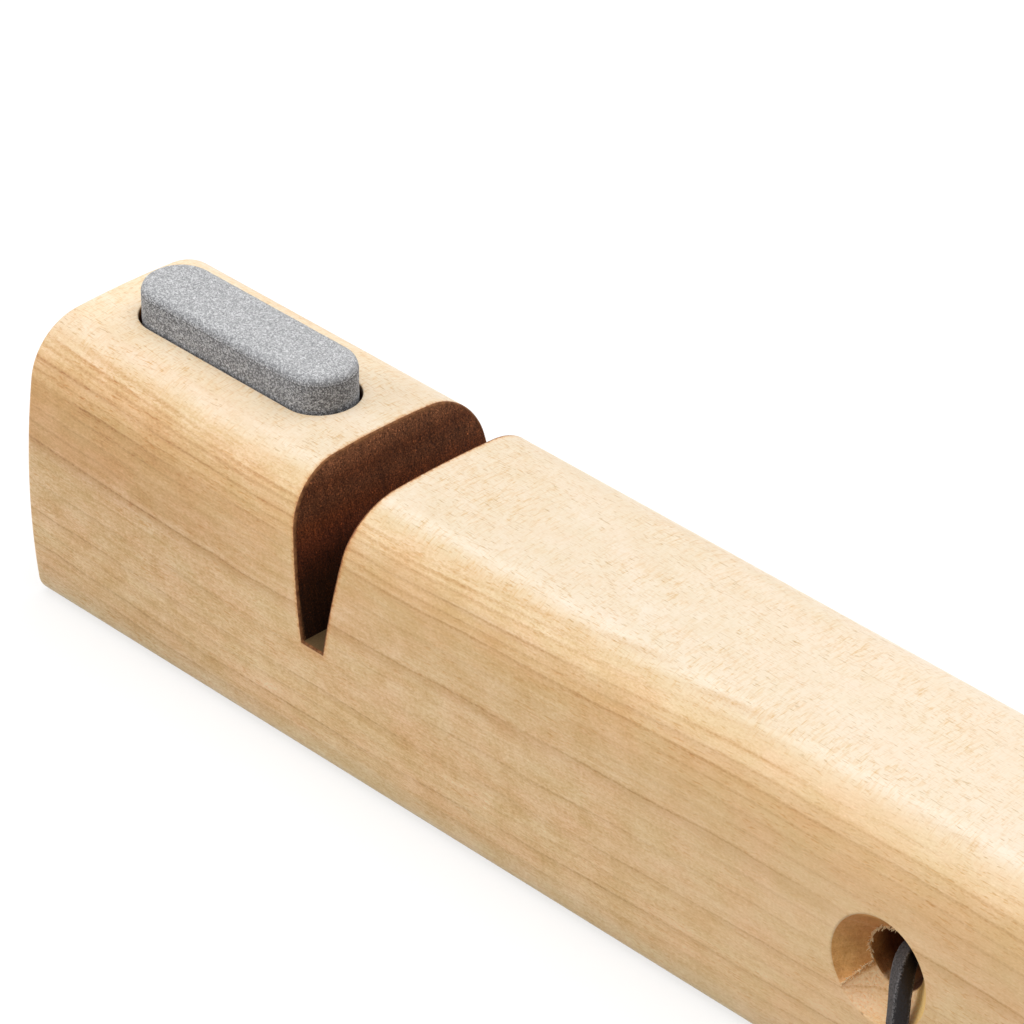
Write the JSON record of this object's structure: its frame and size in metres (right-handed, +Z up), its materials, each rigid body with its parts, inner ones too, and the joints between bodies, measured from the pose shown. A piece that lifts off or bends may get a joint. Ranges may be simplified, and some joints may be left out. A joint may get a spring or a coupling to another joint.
{
  "type": "axe and knife sharpener",
  "caption": "Wooden hand sharpener: a loaf-section block with an inset whetstone, crossed ceramic rods in a V slot and a leather wrist lace.",
  "frame": {"origin": "on the resting face, under the centre of the block's box", "axes": "+X along the block from the whetstone end to the lace end, +Y across it, +Z up out of the top"},
  "size_m": [0.2183, 0.0374, 0.0404],
  "materials": {
    "maple": "oiled, slot walls scorched dark brown",
    "grit": "rough bonded grit",
    "ceramic": "fine ground",
    "leather": "smooth cut lace"
  },
  "bodies": {
    "root": {"block": "maple", "whetstone": "grit", "rod_left": "ceramic", "rod_right": "ceramic", "lace_in_bore": "leather", "lace_front": "leather", "lace_back": "leather", "lace_knot": "leather"}
  },
  "joints": []
}
